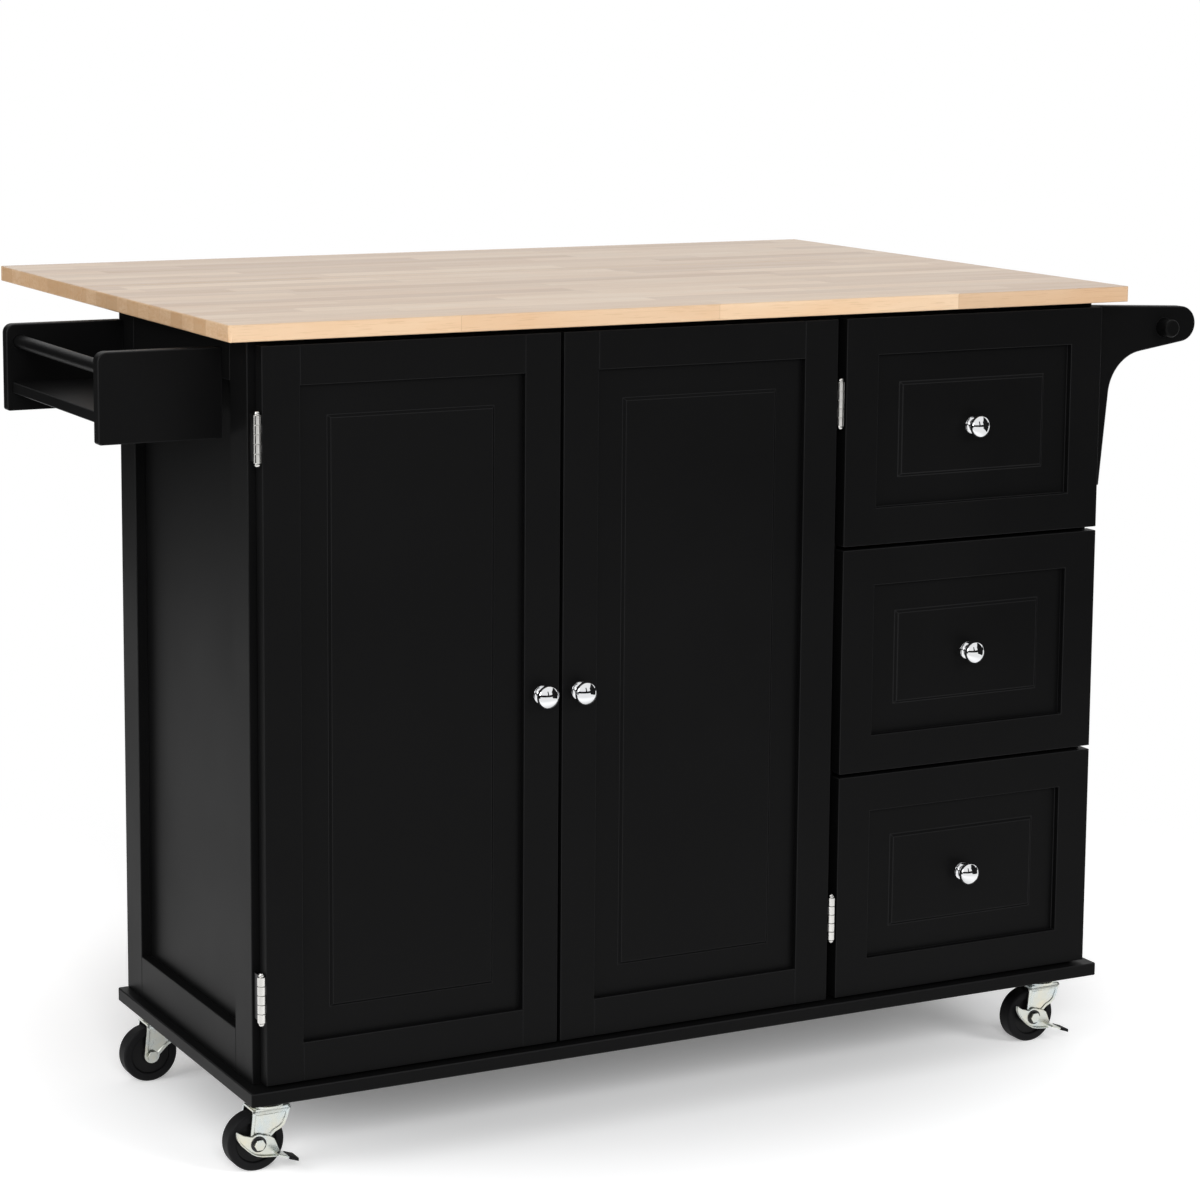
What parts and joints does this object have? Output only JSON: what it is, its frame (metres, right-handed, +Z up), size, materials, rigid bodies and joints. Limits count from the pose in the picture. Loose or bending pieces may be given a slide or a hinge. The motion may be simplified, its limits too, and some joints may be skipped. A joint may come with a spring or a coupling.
{
  "type": "rolling kitchen island",
  "caption": "Rolling kitchen island with a panelled door cupboard, stacked drawers, a drop leaf, a spice rack and a towel rack on braked swivel casters.",
  "frame": {"origin": "middle of the whole part's box, on the floor", "axes": "+X along the front to the right as the doors are faced, +Y from the doors to the back, +Z up"},
  "size_m": [1.3474, 0.772, 0.914],
  "materials": {
    "black_paint": "satin black paint on board and solid wood",
    "lacquered_wood": "clear lacquer on finger-jointed rubberwood strips",
    "plain_board": "plain board of the drawer boxes",
    "zinc": "bright zinc plating on pressed steel",
    "nickel": "satin nickel plating on steel",
    "chrome": "polished chrome plating",
    "rubber": "black tread and hub"
  },
  "bodies": {
    "cabinet": {"base_board": "black_paint", "left_side_frame": "black_paint", "right_side_frame": "black_paint", "side_panels": "black_paint", "partition": "black_paint", "back_panel": "black_paint", "top_stretchers": "black_paint", "fixed_worktop": "lacquered_wood", "adjustable_shelf": "black_paint", "shelf_pins": "zinc", "runner_channels": "zinc", "door_catches": "zinc", "cabinet_screws": "zinc", "door_hinges_fixed": "nickel", "spice_rack_ends": "black_paint", "spice_rack_shelf": "black_paint", "spice_rack_rail": "black_paint", "towel_rack_brackets": "black_paint", "towel_bar": "black_paint", "leaf_hinges_fixed": "nickel", "bracket_wall_plates": "zinc", "caster_plates": "zinc"},
    "leaf": {"drop_leaf": "lacquered_wood", "leaf_hinges_moving": "nickel", "bracket_arms": "zinc"},
    "left_brace": {"left_brace": "zinc"},
    "right_brace": {"right_brace": "zinc"},
    "left_door": {"left_door_frame": "black_paint", "left_door_panel": "black_paint", "left_door_fittings": "nickel", "left_door_knob": "chrome"},
    "right_door": {"right_door_frame": "black_paint", "right_door_panel": "black_paint", "right_door_fittings": "nickel", "right_door_knob": "chrome"},
    "top_drawer": {"top_drawer_front": "black_paint", "top_drawer_box": "plain_board", "top_drawer_bottom": "plain_board", "top_drawer_knob": "chrome", "top_drawer_runners": "zinc"},
    "middle_drawer": {"middle_drawer_front": "black_paint", "middle_drawer_box": "plain_board", "middle_drawer_bottom": "plain_board", "middle_drawer_knob": "chrome", "middle_drawer_runners": "zinc"},
    "bottom_drawer": {"bottom_drawer_front": "black_paint", "bottom_drawer_box": "plain_board", "bottom_drawer_bottom": "plain_board", "bottom_drawer_knob": "chrome", "bottom_drawer_runners": "zinc"},
    "front_left_caster": {"front_left_fork": "zinc"},
    "front_left_roller": {"front_left_wheel": "rubber"},
    "front_left_pedal": {"front_left_brake": "zinc"},
    "back_left_caster": {"back_left_fork": "zinc"},
    "back_left_roller": {"back_left_wheel": "rubber"},
    "front_right_caster": {"front_right_fork": "zinc"},
    "front_right_roller": {"front_right_wheel": "rubber"},
    "front_right_pedal": {"front_right_brake": "zinc"},
    "back_right_caster": {"back_right_fork": "zinc"},
    "back_right_roller": {"back_right_wheel": "rubber"}
  },
  "joints": [
    {"name": "left_door_hinge", "type": "hinge", "parent": "cabinet", "child": "left_door", "pos_m": [-0.53525, -0.361, 0.4985], "axis": [0, 0, -1], "range_deg": [0, 110]},
    {"name": "right_door_hinge", "type": "hinge", "parent": "cabinet", "child": "right_door", "pos_m": [0.16225, -0.361, 0.4985], "axis": [0, 0, 1], "range_deg": [0, 90]},
    {"name": "top_drawer_slide", "type": "slide", "parent": "cabinet", "child": "top_drawer", "axis": [0, -1, 0], "range_m": [0, 0.28]},
    {"name": "middle_drawer_slide", "type": "slide", "parent": "cabinet", "child": "middle_drawer", "axis": [0, -1, 0], "range_m": [0, 0.28]},
    {"name": "bottom_drawer_slide", "type": "slide", "parent": "cabinet", "child": "bottom_drawer", "axis": [0, -1, 0], "range_m": [0, 0.28]},
    {"name": "leaf_hinge", "type": "hinge", "parent": "cabinet", "child": "leaf", "pos_m": [-0.01125, 0.0855, 0.8895], "axis": [-1, 0, 0], "range_deg": [0, 90]},
    {"name": "left_brace_pivot", "type": "hinge", "parent": "cabinet", "child": "left_brace", "pos_m": [-0.28825, 0.0695, 0.7995], "axis": [-1, 0, 0], "range_deg": [0, 113.7]},
    {"name": "right_brace_pivot", "type": "hinge", "parent": "cabinet", "child": "right_brace", "pos_m": [0.26575, 0.0695, 0.7995], "axis": [-1, 0, 0], "range_deg": [0, 113.7]},
    {"name": "front_left_swivel", "type": "hinge", "parent": "cabinet", "child": "front_left_caster", "pos_m": [-0.51025, -0.31, 0.072], "axis": [0, 0, 1], "continuous": true},
    {"name": "front_left_wheel_spin", "type": "hinge", "parent": "front_left_caster", "child": "front_left_roller", "pos_m": [-0.52625, -0.31, 0.032], "axis": [0, 1, 0], "continuous": true},
    {"name": "front_left_brake_pivot", "type": "hinge", "parent": "front_left_caster", "child": "front_left_pedal", "pos_m": [-0.52625, -0.32675, 0.032], "axis": [0, 1, 0], "range_deg": [0, 12]},
    {"name": "back_left_swivel", "type": "hinge", "parent": "cabinet", "child": "back_left_caster", "pos_m": [-0.51025, 0.017, 0.072], "axis": [0, 0, 1], "continuous": true},
    {"name": "back_left_wheel_spin", "type": "hinge", "parent": "back_left_caster", "child": "back_left_roller", "pos_m": [-0.52625, 0.017, 0.032], "axis": [0, 1, 0], "continuous": true},
    {"name": "front_right_swivel", "type": "hinge", "parent": "cabinet", "child": "front_right_caster", "pos_m": [0.48775, -0.31, 0.072], "axis": [0, 0, 1], "continuous": true},
    {"name": "front_right_wheel_spin", "type": "hinge", "parent": "front_right_caster", "child": "front_right_roller", "pos_m": [0.47175, -0.31, 0.032], "axis": [0, 1, 0], "continuous": true},
    {"name": "front_right_brake_pivot", "type": "hinge", "parent": "front_right_caster", "child": "front_right_pedal", "pos_m": [0.47175, -0.32675, 0.032], "axis": [0, 1, 0], "range_deg": [0, 12]},
    {"name": "back_right_swivel", "type": "hinge", "parent": "cabinet", "child": "back_right_caster", "pos_m": [0.48775, 0.017, 0.072], "axis": [0, 0, 1], "continuous": true},
    {"name": "back_right_wheel_spin", "type": "hinge", "parent": "back_right_caster", "child": "back_right_roller", "pos_m": [0.47175, 0.017, 0.032], "axis": [0, 1, 0], "continuous": true}
  ],
  "couplings": [
    {"joint": "left_brace_pivot", "follows": "leaf_hinge", "ratio": 1.2631},
    {"joint": "right_brace_pivot", "follows": "leaf_hinge", "ratio": 1.2631}
  ]
}
